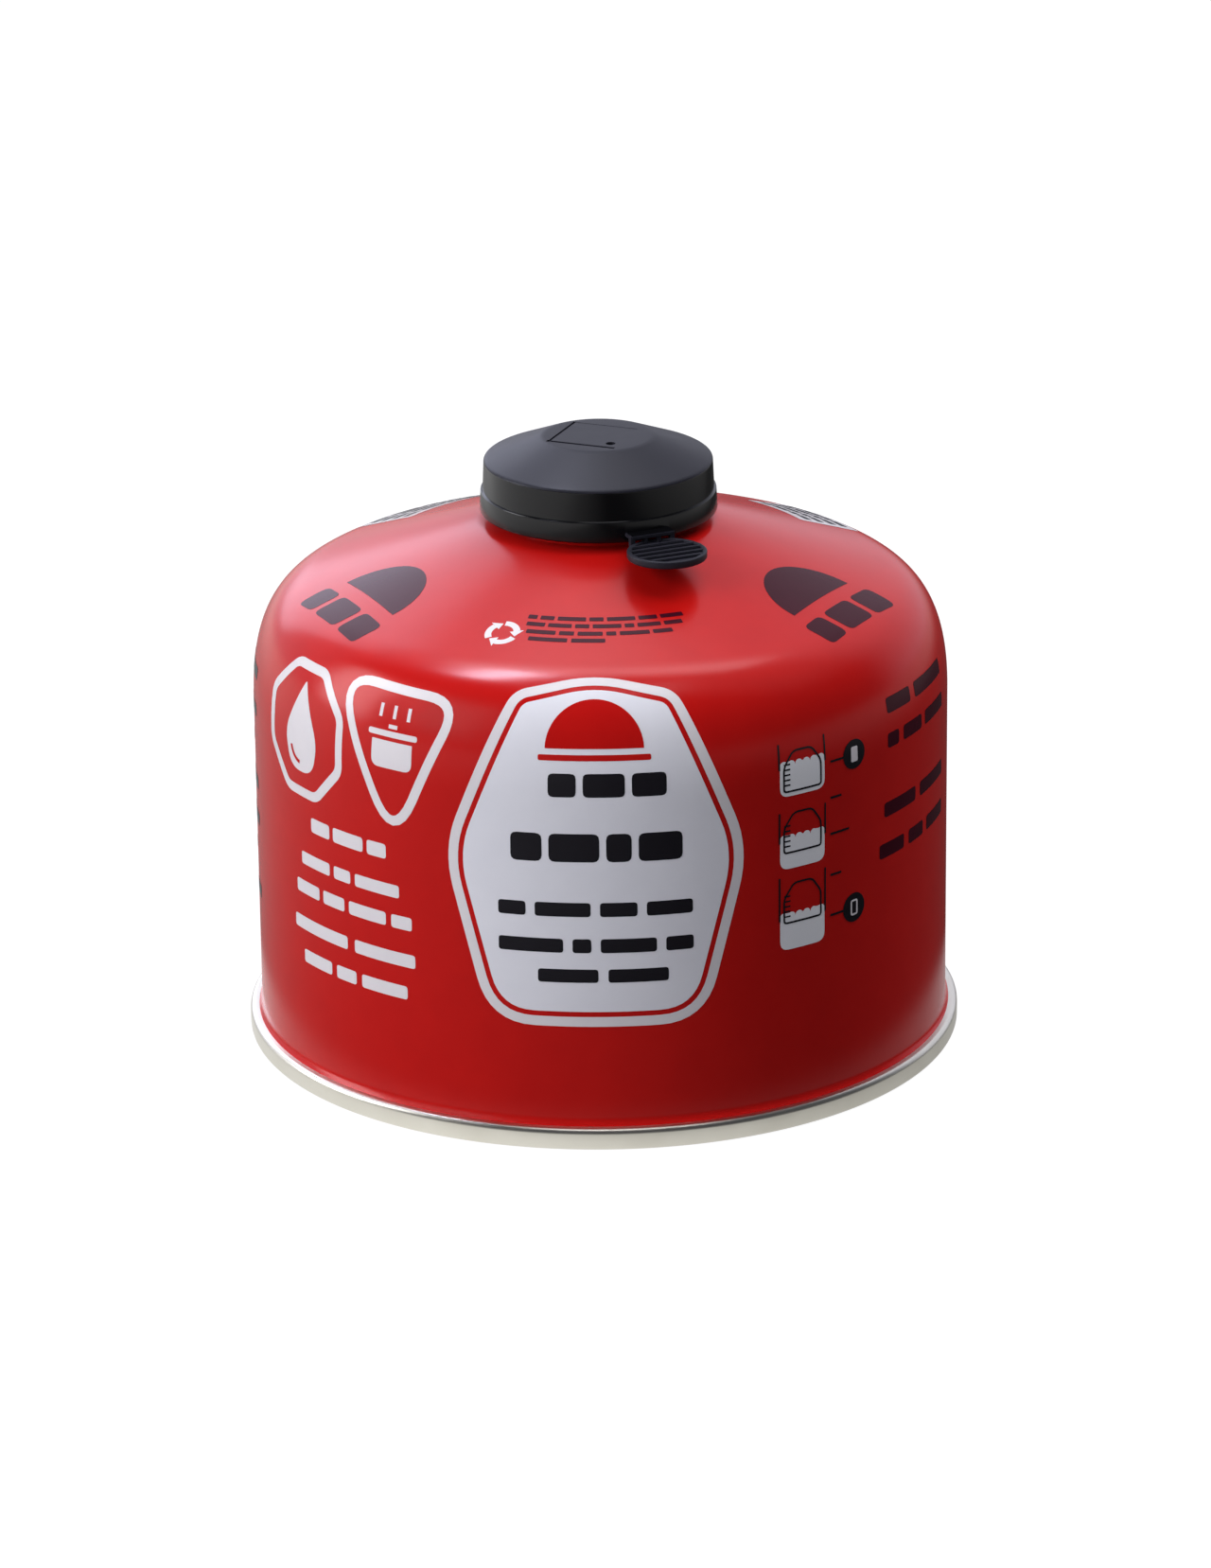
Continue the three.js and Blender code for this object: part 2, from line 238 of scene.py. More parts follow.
# a ring close to the neck keeps the crown's shading even
crown = [
    (NECK_FLAT_RADIUS + CROWN_SUPPORT, NECK_FLAT - CROWN_SLOPE * CROWN_SUPPORT),
    (NECK_FLAT_RADIUS, NECK_FLAT),
]
mouth = [
    (NECK_RADIUS, NECK_FLAT), (NECK_RADIUS, BEAD_TOP - BEAD_HEIGHT), (BEAD_RADIUS, BEAD_TOP - BEAD_HEIGHT),
    *arc(BEAD_RADIUS - BEAD_BEND, BEAD_TOP - BEAD_BEND, BEAD_BEND, 0, 90, 6),
    (MOUTH_RADIUS, BEAD_TOP), (MOUTH_RADIUS, WELL_FLOOR),
    (BORE_RADIUS, WELL_FLOOR), (BORE_RADIUS, BORE_FLOOR), (0, BORE_FLOOR),
]
can_outline = panel_outwards(UNDER_GAP) + [(CHUCK_RADIUS + UNDER_GAP, SEAM_HEIGHT)]
can_outline += foot + shoulder + crown + mouth
can = spin("can", can_outline, CAN_TURNS)
# red enamel baked on tinplate: a deep even red whose soft shine shows the can's round shape
RED = "#CB1612"
RED_SHADE = "#BF1210"
can.data.materials.append(glossy_ink("red_baked_enamel", RED, RED_SHADE))
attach(can, "root")
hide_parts("can_body")

# Print
# Baked inks in white, silver, black and red that were printed on the sheet before the can was drawn.
# Each is built as thin films that hug the can, cut from flat shapes and bent round wall and shoulder.

outer_line = [(CAN_RADIUS, 0.0), (CAN_RADIUS, WALL_TOP)] + shoulder[1:] + [(NECK_FLAT_RADIUS, NECK_FLAT)]
reach = [0.0]
for before, after in zip(outer_line, outer_line[1:]):
    reach.append(reach[-1] + math.dist(before, after))


def on_can(angle, along, lift):
    """The point of the can at an angle in degrees right of the front and a length up its outline."""
    k = max(i for i in range(len(reach) - 1) if reach[i] <= along or i == 0)
    share = (along - reach[k]) / (reach[k + 1] - reach[k])
    (r0, z0), (r1, z1) = outer_line[k], outer_line[k + 1]
    slope = math.atan2(z1 - z0, r1 - r0)
    radius = r0 + (r1 - r0) * share + lift * math.sin(slope)
    height = z0 + (z1 - z0) * share - lift * math.cos(slope)
    turn = math.radians(angle)
    return Vector((radius * math.sin(turn), -radius * math.cos(turn), height)) * MM


def on_wall(across, along, lift):
    """The same, for print that was laid out flat: across is millimetres along the wall's round."""
    return on_can(math.degrees(across / CAN_RADIUS), along, lift)


def along_at(radius):
    """The length up the outline at which the crown has that radius."""
    return reach[-1] - (radius - NECK_FLAT_RADIUS) * math.hypot(1, CROWN_SLOPE)


def on_crown(angle, radius, lift):
    """The point of the crown at an angle right of the front and a distance from the axis."""
    return on_can(angle, along_at(radius), lift)


def from_above(x, y, lift):
    """The point of the crown under x to the right and y to the back, for print laid out from above."""
    return on_crown(math.degrees(math.atan2(x, -y)), math.hypot(x, y), lift)


FILM_PITCH = 1.2
CAN_MIDDLE = 40.0
WELD = 0.002


def ink_film(name, shapes, place, lift, material):
    """One film of ink from flat outlines, cut into small squares and then laid on the can."""
    film = bmesh.new()
    for outline in shapes:
        flat = bmesh.new()
        flat.faces.new([flat.verts.new((x, y, 0)) for x, y in outline])
        bmesh.ops.triangulate(flat, faces=flat.faces[:])
        for axis in (0, 1):
            low = min(p[axis] for p in outline)
            high = max(p[axis] for p in outline)
            cuts = int((high - low) / FILM_PITCH)
            for i in range(1, cuts + 1):
                point = [0, 0, 0]
                point[axis] = low + (high - low) * i / (cuts + 1)
                normal = [0, 0, 0]
                normal[axis] = 1
                parts = flat.verts[:] + flat.edges[:] + flat.faces[:]
                bmesh.ops.bisect_plane(flat, geom=parts, plane_co=point, plane_no=normal)
        corners = {}
        for vert in flat.verts:
            corners[vert] = film.verts.new(place(vert.co.x, vert.co.y, lift))
        for face in flat.faces:
            film.faces.new([corners[vert] for vert in face.verts])
        flat.free()
    for face in film.faces:
        face.normal_update()
        outwards = face.calc_center_median() - Vector((0, 0, CAN_MIDDLE * MM))
        if face.normal.dot(outwards) < 0:
            face.normal_flip()
    bmesh.ops.remove_doubles(film, verts=film.verts[:], dist=WELD * MM)
    piece = from_shape(name, film)
    piece.data.materials.append(material)
    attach(piece, "root")


LONGEST_TRIM = 0.48


def rounded(corners, bends, steps=8):
    """An outline with its corners rounded off, each by its own bend in millimetres."""
    points = []
    count = len(corners)
    for i in range(count):
        before, here, after = (Vector(corners[k % count]) for k in (i - 1, i, i + 1))
        bend = bends[i] if isinstance(bends, (list, tuple)) else bends
        into, out = (before - here).normalized(), (after - here).normalized()
        trim = bend * math.tan((math.pi - into.angle(out)) / 2)
        trim = min(trim, (before - here).length * LONGEST_TRIM, (after - here).length * LONGEST_TRIM)
        start, end = here + into * trim, here + out * trim
        for k in range(steps + 1):
            t = k / steps
            points.append(tuple(start * (1 - t) ** 2 + here * 2 * t * (1 - t) + end * t * t))
    return points


def inset(corners, depth):
    """A convex outline with every side moved inwards."""
    count = len(corners)
    middle = sum((Vector(c) for c in corners), Vector((0, 0))) / count
    sides = []
    for i in range(count):
        a, b = Vector(corners[i]), Vector(corners[(i + 1) % count])
        along = (b - a).normalized()
        normal = Vector((-along.y, along.x))
        if normal.dot(middle - a) < 0:
            normal = -normal
        sides.append((a + normal * depth, along))
    points = []
    for i in range(count):
        (a, u), (b, v) = sides[i - 1], sides[i]
        cross = u.x * v.y - u.y * v.x
        t = ((b - a).x * v.y - (b - a).y * v.x) / cross
        points.append(tuple(a + u * t))
    return points


SHARPEST_TURN = 0.4


def stroke(points, width, closed=False):
    """A line of even width along points, as four-sided pieces that share their ends."""
    count = len(points)
    edges = []
    for i, point in enumerate(points):
        here = Vector(point)
        before = Vector(points[i - 1]) if closed or i else None
        after = Vector(points[(i + 1) % count]) if closed or i < count - 1 else None
        into = (here - before).normalized() if before else (after - here).normalized()
        out = (after - here).normalized() if after else into
        turn = (into + out).normalized()
        reach_out = width / 2 / max(turn.dot(into), SHARPEST_TURN)
        side = Vector((-turn.y, turn.x)) * reach_out
        edges.append((tuple(here - side), tuple(here + side)))
    spans = list(zip(edges, edges[1:]))
    if closed:
        spans.append((edges[-1], edges[0]))
    return [[a[0], b[0], b[1], a[1]] for a, b in spans]


def box(left, low, right, high):
    """The outline of an upright rectangle."""
    return [(left, low), (right, low), (right, high), (left, high)]


def disc(x, y, radius, start=0, end=360, steps=32):
    """A flat disc, or the part of one between two angles."""
    turns = [math.radians(start + (end - start) * i / steps) for i in range(steps + (end - start < 360))]
    return [(x + radius * math.cos(t), y + radius * math.sin(t)) for t in turns]


BLOCK_BEND = 0.22


def blocks(left, right, low, high, widths, gap):
    """A row of plain blocks with soft ends in place of a line of words."""
    scale = (right - left) / (sum(widths) + gap * (len(widths) - 1))
    shapes = []
    x = left
    for width in widths:
        shapes.append(rounded(box(x, low, x + width * scale, high), (high - low) * BLOCK_BEND, steps=3))
        x += (width + gap) * scale
    return shapes


def block_rows(rows):
    """Rows of blocks from their left, right, low and high, the widths of the blocks and their gap."""
    return [shape for row in rows for shape in blocks(*row)]


def turned(shapes, angle, x, y):
    """Flat shapes turned about their origin and then moved."""
    c, s = math.cos(math.radians(angle)), math.sin(math.radians(angle))
    return [[(x + c * u - s * v, y + s * u + c * v) for u, v in outline] for outline in shapes]


# Badge
# A tall six-sided field in silver ink with a white border, wrapped over the shoulder at the front.
# It holds a half disc over a bar, and rows of blocks in place of words.
BADGE_MIDDLE = -1.0
BADGE_HALF = [(16.3, 19.2), (23.3, 45.6), (13.0, 71.0)]
BADGE_PEAK = 74.6
BADGE_BENDS = [9.0, 18.0, 4.5]
BADGE_PEAK_BEND = 20.0
SMALLEST_BEND = 0.5
BORDER = 1.55
BORDER_GAP = 0.8
LIFT = 0.03
EMBLEM_RADIUS = 7.4
EMBLEM_HEIGHT = 62.6
# half width, low and high
EMBLEM_BAR = (8.4, 60.8, 61.7)
BAR_BEND = 0.3
BADGE_ROWS = (
    (-7.9, 9.6, 55.3, 58.9, (4, 6, 5), 1.0),
    (-13.6, 11.9, 45.2, 49.6, (5, 8, 4, 7), 1.1),
    (-15.6, 13.4, 36.6, 38.8, (3, 6, 4, 5), 1.0),
    (-15.6, 13.5, 30.9, 33.1, (7, 2, 6, 3), 1.0),
    (-9.7, 9.7, 26.2, 28.3, (6, 6), 1.0),
)

# white baked ink: a clean, slightly warm white that shines as the enamel round it does
white_ink = glossy_ink("white_baked_ink", "#EDE8EA", "#E4DFE2")
# silver ink: a cool pale grey, duller than the enamel, so that the badge reads as a flat light field
silver_ink = glossy_ink("silver_baked_ink", "#F1F1F7", "#E9E9F0", roughness=0.4)
# black ink: the crisp dark of the small shapes, a little warm
black_ink = glossy_ink("black_baked_ink", "#19171C", "#201E24")
# the can's own red, printed as an ink: the emblem matches the enamel
red_ink = glossy_ink("red_baked_ink", RED, RED_SHADE)
# black ink laid thin over red enamel: a deep plum that the red shows through, nearly without shine
dark_ink = glossy_ink("dark_baked_ink", "#3A0A18", "#430D1E", gloss=0.09)

badge = [(BADGE_MIDDLE + x, z) for x, z in BADGE_HALF] + [(BADGE_MIDDLE, BADGE_PEAK)]
badge += [(BADGE_MIDDLE - x, z) for x, z in BADGE_HALF[::-1]]
badge_bends = BADGE_BENDS + [BADGE_PEAK_BEND] + BADGE_BENDS[::-1]


def smaller_badge(depth):
    """The badge's outline, moved inwards by a depth."""
    return rounded(inset(badge, depth), [max(bend - depth, SMALLEST_BEND) for bend in badge_bends])


ink_film("badge_border", stroke(smaller_badge(BORDER / 2), BORDER, closed=True), on_wall, LIFT, white_ink)
ink_film("badge_field", [smaller_badge(BORDER + BORDER_GAP)], on_wall, LIFT, silver_ink)
half_disc = disc(BADGE_MIDDLE, EMBLEM_HEIGHT, EMBLEM_RADIUS, 0, 180)
half_bar, bar_low, bar_high = EMBLEM_BAR
red_bar = rounded(box(BADGE_MIDDLE - half_bar, bar_low, BADGE_MIDDLE + half_bar, bar_high), BAR_BEND)
ink_film("badge_emblem", [half_disc, red_bar], on_wall, 2 * LIFT, red_ink)
ink_film("badge_words", block_rows(BADGE_ROWS), on_wall, 2 * LIFT, black_ink)

# Left panel
# A drop in a soft eight-sided frame and a lidded pot in a three-sided one, in white ink.
# Rows of white blocks stand below them.
OCTAGON_MIDDLE = (-53.6, 57.5)
OCTAGON_RADIUS = 11.4
OCTAGON_BEND = 3.0
OCTAGON_TURN = 22.5
THREE_SIDED = [(-46.0, 69.7), (-20.9, 68.9), (-32.9, 42.8)]
THREE_SIDED_BEND = 4.0
FRAME_LINE = 1.5
DROP_HALF = [(4.6, 56.4), (3.2, 50.9)]
DROP_TIP = 65.2
DROP_BENDS = [0.3, 6, 4, 4, 6]
SHINE_HEIGHT = 55.0
SHINE_RADIUS = 2.7
SHINE_SPAN = (190, 265)
POT_MIDDLE = -33.2
# half width, low and high of the pot, its lid and its knob
POT_SIDE = (3.7, 56.4, 60.6)
POT_BENDS = [1.4, 1.4, 0.2, 0.2]
POT_LID = (4.5, 61.2, 62.1)
LID_BEND = 0.4
POT_KNOB = (0.8, 62.5, 63.1)
STEAM = (64.0, 66.0)
STEAM_SPACING = 2.6
THIN_LINE = 0.6
LEFT_ROWS = (
    (-51.0, -34.4, 42.0, 44.3, (5, 7, 4), 0.9),
    (-53.9, -32.1, 36.2, 38.2, (6, 3, 7), 0.8),
    (-55.5, -29.9, 31.4, 33.5, (5, 4, 6, 3), 0.8),
    (-56.3, -29.4, 25.5, 27.6, (7, 6), 0.8),
    (-53.8, -30.9, 20.3, 22.4, (5, 3, 6), 0.8),
)

octagon = disc(*OCTAGON_MIDDLE, OCTAGON_RADIUS, OCTAGON_TURN, OCTAGON_TURN + 360, 8)
whites = []
for sides, bend in ((octagon, OCTAGON_BEND), (THREE_SIDED, THREE_SIDED_BEND)):
    whites += stroke(rounded(inset(sides, FRAME_LINE / 2), bend), FRAME_LINE, closed=True)
drop_x = OCTAGON_MIDDLE[0]
drop = [(drop_x, DROP_TIP)] + [(drop_x + x, z) for x, z in DROP_HALF]
drop += [(drop_x - x, z) for x, z in DROP_HALF[::-1]]
whites.append(rounded(drop, DROP_BENDS))
half, low, high = POT_SIDE
whites.append(rounded(box(POT_MIDDLE - half, low, POT_MIDDLE + half, high), POT_BENDS))
half, low, high = POT_LID
whites.append(rounded(box(POT_MIDDLE - half, low, POT_MIDDLE + half, high), LID_BEND))
half, low, high = POT_KNOB
whites.append(box(POT_MIDDLE - half, low, POT_MIDDLE + half, high))
for x in (POT_MIDDLE - STEAM_SPACING, POT_MIDDLE, POT_MIDDLE + STEAM_SPACING):
    whites += stroke([(x, STEAM[0]), (x, STEAM[1])], THIN_LINE)
whites += block_rows(LEFT_ROWS)
ink_film("left_panel", whites, on_wall, LIFT, white_ink)
shine = stroke(disc(drop_x, SHINE_HEIGHT, SHINE_RADIUS, *SHINE_SPAN, 8), THIN_LINE)
ink_film("drop_shine", shine, on_wall, 2 * LIFT, red_ink)

# Right panel
# Three vessels with a can afloat in them at three levels, as a gauge of what is left, with a scale of
# ticks between two discs. Rows of dark blocks stand beyond them.
VESSEL = (27.2, 35.8)
# top, foot and fluid level of each vessel, and the foot of the can in it
VESSEL_ROWS = ((60.6, 52.1, 57.2, 53.1), (49.9, 40.7, 45.7, 43.5), (39.7, 27.9, 33.4, 32.4))
VESSEL_LINE = 0.3
SIDE_INSET = 0.15
SIDE_OVERLAP = 0.6
FLUID_INSET = 0.25
FLUID_BEND = 1.5
WAVES = 6
CAN_HEIGHT = 6.2
CAN_INSET = 0.95
CAN_SHOULDER = 0.62
CAN_TAPER = 1.7
CAN_BENDS = [0.5, 0.5, 2.4, 1.6, 1.6, 2.4]
CAN_TICKS = 5
CAN_TICK = (1.1, 0.25)
CAN_TICK_START = 0.9
CAN_TICK_PITCH = 0.8
SCALE = (36.7, 38.9)
SCALE_TICKS = (56.1, 50.4, 44.7, 38.2, 31.8)
SCALE_LINE = 0.36
SCALE_LEAD = 1.6
SCALE_DISC_X = 41.6
SCALE_DISC_RADIUS = 2.3
FULL_MARK = (0.7, 1.2)
EMPTY_MARK = (0.6, 1.1)
MARK_BEND = 0.3
RIGHT_ROWS = (
    (50.0, 71.0, 60.0, 62.4, (4, 7), 0.9),
    (49.7, 71.0, 54.7, 57.0, (2, 4, 6), 0.9),
    (48.8, 71.0, 43.9, 46.2, (5, 6), 0.9),
    (47.6, 71.0, 37.5, 39.8, (4, 3, 5), 0.9),
)

# blue-white ink: the brightest white of the print, for the fluid in the vessels
fluid_ink = glossy_ink("fluid_baked_ink", "#FDFEFF", "#F8FAFF")

fluid = []
marks = []
for top, bottom, level, can_low in VESSEL_ROWS:
    left, right = VESSEL
    for x in (left + SIDE_INSET, right - SIDE_INSET):
        marks += stroke([(x, level - SIDE_OVERLAP), (x, top)], VESSEL_LINE)
    left, right, bottom = left + FLUID_INSET, right - FLUID_INSET, bottom + FLUID_INSET
    surface_line = []
    wave = (right - left) / WAVES
    for i in range(WAVES):
        surface_line += disc(right - wave * (i + 0.5), level, wave / 2, 0, 180, 6)[:-1]
    bowl = [(left, level), (left, bottom), (right, bottom), (right, level)]
    bowl_line = rounded(bowl, [0, FLUID_BEND, FLUID_BEND, 0], steps=5)
    fluid.append(surface_line + bowl_line[5:-5])
    left, right = VESSEL[0] + CAN_INSET, VESSEL[1] - CAN_INSET
    can_shoulder, can_top = can_low + CAN_HEIGHT * CAN_SHOULDER, can_low + CAN_HEIGHT
    floating = [(left, can_low), (right, can_low), (right, can_shoulder),
                (right - CAN_TAPER, can_top), (left + CAN_TAPER, can_top), (left, can_shoulder)]
    marks += stroke(rounded(floating, CAN_BENDS), VESSEL_LINE, closed=True)
    for i in range(CAN_TICKS):
        low = can_low + CAN_TICK_START + i * CAN_TICK_PITCH
        marks.append(box(left, low, left + CAN_TICK[0], low + CAN_TICK[1]))
ink_film("gauge_fluid", fluid, on_wall, LIFT, fluid_ink)

for i, height in enumerate(SCALE_TICKS):
    reach_right = SCALE[1] if i % 2 else SCALE[1] + SCALE_LEAD
    marks.append(box(SCALE[0], height - SCALE_LINE / 2, reach_right, height + SCALE_LINE / 2))
for height in (SCALE_TICKS[0], SCALE_TICKS[-1]):
    marks.append(disc(SCALE_DISC_X, height, SCALE_DISC_RADIUS))
ends = []
for (across, up), height in ((FULL_MARK, SCALE_TICKS[0]), (EMPTY_MARK, SCALE_TICKS[-1])):
    mark_box = box(SCALE_DISC_X - across, height - up, SCALE_DISC_X + across, height + up)
    ends.append(rounded(mark_box, MARK_BEND))
full_mark, empty_mark = ends
ink_film("right_rows", block_rows(RIGHT_ROWS), on_wall, LIFT, dark_ink)
ink_film("gauge_marks", marks, on_wall, 2 * LIFT, black_ink)
empty_ring = stroke(empty_mark, VESSEL_LINE, closed=True)
ink_film("gauge_ends", [full_mark] + empty_ring, on_wall, 3 * LIFT, white_ink)

# Crown print
# A ring of three arrows and four rows of small blocks at the front, a half disc over blocks at each
# side, and two white labels behind.
RING_ANGLE = -22.7
RING_RADIUS = 37.3
RING_BEND = 2.15
RING_LINE = 1.0
ARROW_STARTS = (100, 220, 340)
ARROW_BOW = 78
ARROW_REACH = 112
ARROW_HALF = 1.05
# distance from the axis, the angles at both ends and the widths of the blocks
SMALL_ROWS = (
    (33.0, -18.6, 21.8, (2, 3, 6, 3, 6, 4, 5)),
    (34.6, -18.2, 20.6, (4, 5, 3, 6, 2, 5, 4)),
    (36.3, -17.4, 17.2, (6, 3, 5, 2, 6, 4)),
    (37.9, -16.2, 1.2, (7, 6)),
)
SMALL_HALF = 0.45
SMALL_GAP = 0.7
MARK_RADIUS = 38.9
MARK_ANGLES = (-65.0, 60.6)
MARK_DISC = (0.8, 8.6)
MARK_ROW = (-10.2, 10.2, -6.6, -1.6, (4, 6, 5), 1.0)
LABELS = ((-154, -124), (117, 139))
LABEL_REACH = (35.0, 45.5)
LABEL_ROWS = (37.2, 39.4, 41.6, 43.6)
LABEL_MARGIN = 2
LABEL_HALF = 0.6
LABEL_BEND = 1.0
LABEL_WIDTHS = (5, 3, 6, 4)
LABEL_GAP = 0.9

loop = []
for start in ARROW_STARTS:
    loop += stroke(disc(0, 0, RING_BEND, start, start - ARROW_BOW, 8), RING_LINE)
    tip = math.radians(start - ARROW_REACH)
    root = math.radians(start - ARROW_BOW)
    inner, outer = RING_BEND - ARROW_HALF, RING_BEND + ARROW_HALF
    loop.append([
        (inner * math.cos(root), inner * math.sin(root)),
        (RING_BEND * math.cos(tip), RING_BEND * math.sin(tip)),
        (outer * math.cos(root), outer * math.sin(root)),
    ])
ring_x = RING_RADIUS * math.sin(math.radians(RING_ANGLE))
ring_y = -RING_RADIUS * math.cos(math.radians(RING_ANGLE))
ink_film("crown_ring", turned(loop, RING_ANGLE, ring_x, ring_y), from_above, LIFT, white_ink)

small = []
for radius, left, right, widths in SMALL_ROWS:
    small += blocks(left, right, radius - SMALL_HALF, radius + SMALL_HALF, widths, SMALL_GAP)
ink_film("crown_words", small, on_crown, LIFT, dark_ink)

side_mark = [disc(0, *MARK_DISC, 0, 180, 24)] + blocks(*MARK_ROW)
dark_marks = []
for angle in MARK_ANGLES:
    x = MARK_RADIUS * math.sin(math.radians(angle))
    y = -MARK_RADIUS * math.cos(math.radians(angle))
    dark_marks += turned(side_mark, angle, x, y)
ink_film("crown_marks", dark_marks, from_above, LIFT, dark_ink)

fields = []
rows = []
for left, right in LABELS:
    fields.append(rounded(box(left, LABEL_REACH[0], right, LABEL_REACH[1]), LABEL_BEND))
    for radius in LABEL_ROWS:
        rows += blocks(left + LABEL_MARGIN, right - LABEL_MARGIN,
                       radius - LABEL_HALF, radius + LABEL_HALF, LABEL_WIDTHS, LABEL_GAP)
ink_film("crown_labels", fields, on_crown, LIFT, white_ink)
ink_film("crown_label_rows", rows, on_crown, 2 * LIFT, black_ink)

# Back panel
# The print on the far side, in the same baked inks: a white outlined field with white rows at the
# back, and a column of dark rows on either side of it.
BACK = math.pi * CAN_RADIUS
BACK_HALF = 25
BACK_REACH = (17.5, 63.5)
BACK_BEND = 3.5
BACK_ROWS_START = (-21, 56.0)
BACK_PITCH = 5.6
# length, height and the widths of the blocks
BACK_ROWS = (
    (26, 3.0, (6, 4)),
    (42, 1.9, (4, 7, 5, 6)),
    (42, 1.9, (7, 3, 5, 6)),
    (42, 1.9, (3, 6, 6, 4)),
    (42, 1.9, (5, 5, 3, 7)),
    (42, 1.9, (6, 4, 7)),
    (26, 1.9, (4, 3)),
)
COLUMNS = ((-104, -74.5), (88, 126))
COLUMN_TOP = 58.5
COLUMN_PITCH = 5.9
COLUMN_ROW = 2.0
COLUMN_WIDTHS = ((5, 6), (4, 3, 6), (6, 5), (3, 5, 4), (5, 4, 4), (6, 3), (4, 6, 3))
SHORTER = 6
BACK_GAP = 0.8

frame_box = box(BACK - BACK_HALF, BACK_REACH[0], BACK + BACK_HALF, BACK_REACH[1])
back = stroke(rounded(inset(frame_box, FRAME_LINE / 2), BACK_BEND), FRAME_LINE, closed=True)
for i, (length, size, widths) in enumerate(BACK_ROWS):
    left, low = BACK + BACK_ROWS_START[0], BACK_ROWS_START[1] - BACK_PITCH * i
    back += blocks(left, left + length, low, low + size, widths, BACK_GAP)
ink_film("back_panel", back, on_wall, LIFT, white_ink)
columns = []
for left, right in COLUMNS:
    for i, widths in enumerate(COLUMN_WIDTHS):
        low = COLUMN_TOP - COLUMN_PITCH * i
        end = right - SHORTER if i % 3 == 2 else right
        columns += blocks(left, end, low, low + COLUMN_ROW, widths, BACK_GAP)
ink_film("side_columns", columns, on_wall, LIFT, black_ink)

# Base
# A tinplate end, rolled on to the can's foot in a double seam, with its panel domed up inside.
# It is spun with the seam's soft rounding and turning lines round its middle.

SEAM_RADIUS = CAN_RADIUS + 1.86
SEAM_BEND = 0.8
CHUCK_BEND = 0.6
CLOUD_PITCH = 7.0
CLOUD_SPREAD = (0.8, 1.25)
SCRATCH_DEPTH = 0.02


def metal(name, colour, shade, roughness, line_width):
    """Tinplate: fine lines round the axis break up its reflections, and a cloudiness its sheen."""
    material = new_material(name)
    place = node(material, "ShaderNodeTexCoord").outputs["Object"]
    parts = node(material, "ShaderNodeSeparateXYZ", inputs={"Vector": place})
    across = node(material, "ShaderNodeVectorMath", {"operation": "LENGTH"}, {
        0: node(material, "ShaderNodeCombineXYZ", inputs={
            "X": parts.outputs["X"], "Y": parts.outputs["Y"]}).outputs["Vector"]})
    lines_at = node(material, "ShaderNodeCombineXYZ", inputs={
        "X": across.outputs["Value"], "Y": parts.outputs["Z"]})
    lines_noise = node(material, "ShaderNodeTexNoise", inputs={
        "Vector": lines_at.outputs["Vector"], "Scale": 1 / (line_width * MM), "Detail": 2.0})
    cloud = node(material, "ShaderNodeTexNoise", inputs={
        "Vector": place, "Scale": 1 / (CLOUD_PITCH * MM), "Detail": 4.0})
    tone = node(material, "ShaderNodeMix", {"data_type": "RGBA"}, {
        "Factor": cloud.outputs["Fac"], "A": linear(colour), "B": linear(shade)})
    rough = node(material, "ShaderNodeMapRange", inputs={
        "Value": cloud.outputs["Fac"],
        "To Min": roughness * CLOUD_SPREAD[0], "To Max": roughness * CLOUD_SPREAD[1]})
    bump = node(material, "ShaderNodeBump", inputs={
        "Height": lines_noise.outputs["Fac"], "Strength": 0.15, "Distance": SCRATCH_DEPTH * MM})
    shader = node(material, "ShaderNodeBsdfPrincipled", inputs={
        "Base Color": tone.outputs["Result"], "Metallic": 1.0, "Roughness": rough.outputs["Result"],
        "Normal": bump.outputs["Normal"]})
    return finish_with(material, shader)


seam = (
    arc(CHUCK_RADIUS + CHUCK_BEND, CHUCK_BEND, CHUCK_BEND, 180, 270, 6)
    + arc(SEAM_RADIUS - SEAM_BEND, SEAM_BEND, SEAM_BEND, -90, 0, 8)
    + arc(SEAM_RADIUS - SEAM_BEND, SEAM_HEIGHT - SEAM_BEND, SEAM_BEND, 0, 90, 8)
    + [(CHUCK_RADIUS + SHEET, SEAM_HEIGHT)]
)
base = spin("base", panel_outwards(0) + seam + panel_outwards(SHEET)[::-1], CAN_TURNS)
# bare tinplate: a pale warm metal whose fine turning lines draw its reflections out into a satin band
base.data.materials.append(metal("rolled_tinplate", "#E2DFD4", "#D6D2C5", 0.34, 0.12))
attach(base, "root")
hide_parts("base_end")

# Cap
# A black polyethylene moulding that pushes on over the valve: a drafted skirt on a thicker band, a
# satin cone, and a small top with a square panel and a vent. Its ribbed tab is one with it.

CUP_TOP = BEAD_TOP + 0.4
BAND_RADIUS = 18.08
BAND_BOTTOM = CUP_TOP - 3.2
LEDGE_RADIUS = 17.93
WALL_FOOT_RADIUS = 17.6
WALL_TOP_RADIUS = 17.42
CONE_FOOT = CUP_TOP + 4.73
CONE_RISE = 3.53
CAP_TOP = CONE_FOOT + CONE_RISE
CAP_TOP_RADIUS = 8.46
CAP_WALL = 1.2
CONE_SLOPE = CONE_RISE / (WALL_TOP_RADIUS - CAP_TOP_RADIUS)
STOP_RING = (13.4, 14.6)
SKIRT_BORE = 16.22
BAND_BORE = 16.88
BORE_CHAMFER = 0.33
LIP_BORE = 15.6
LIP_CHAMFER = 0.1
LIP_HEIGHT = 0.5
LIP_SLOPE_TOP = 1.0
BAND_BEND = 0.25
LEDGE_BEND = 0.12
LEDGE_FILLET = 0.06
CONE_EDGE = ((0.0, -0.45), (0.0, -0.1), (-0.15, 0.05), (-0.6, 0.6 * CONE_SLOPE))
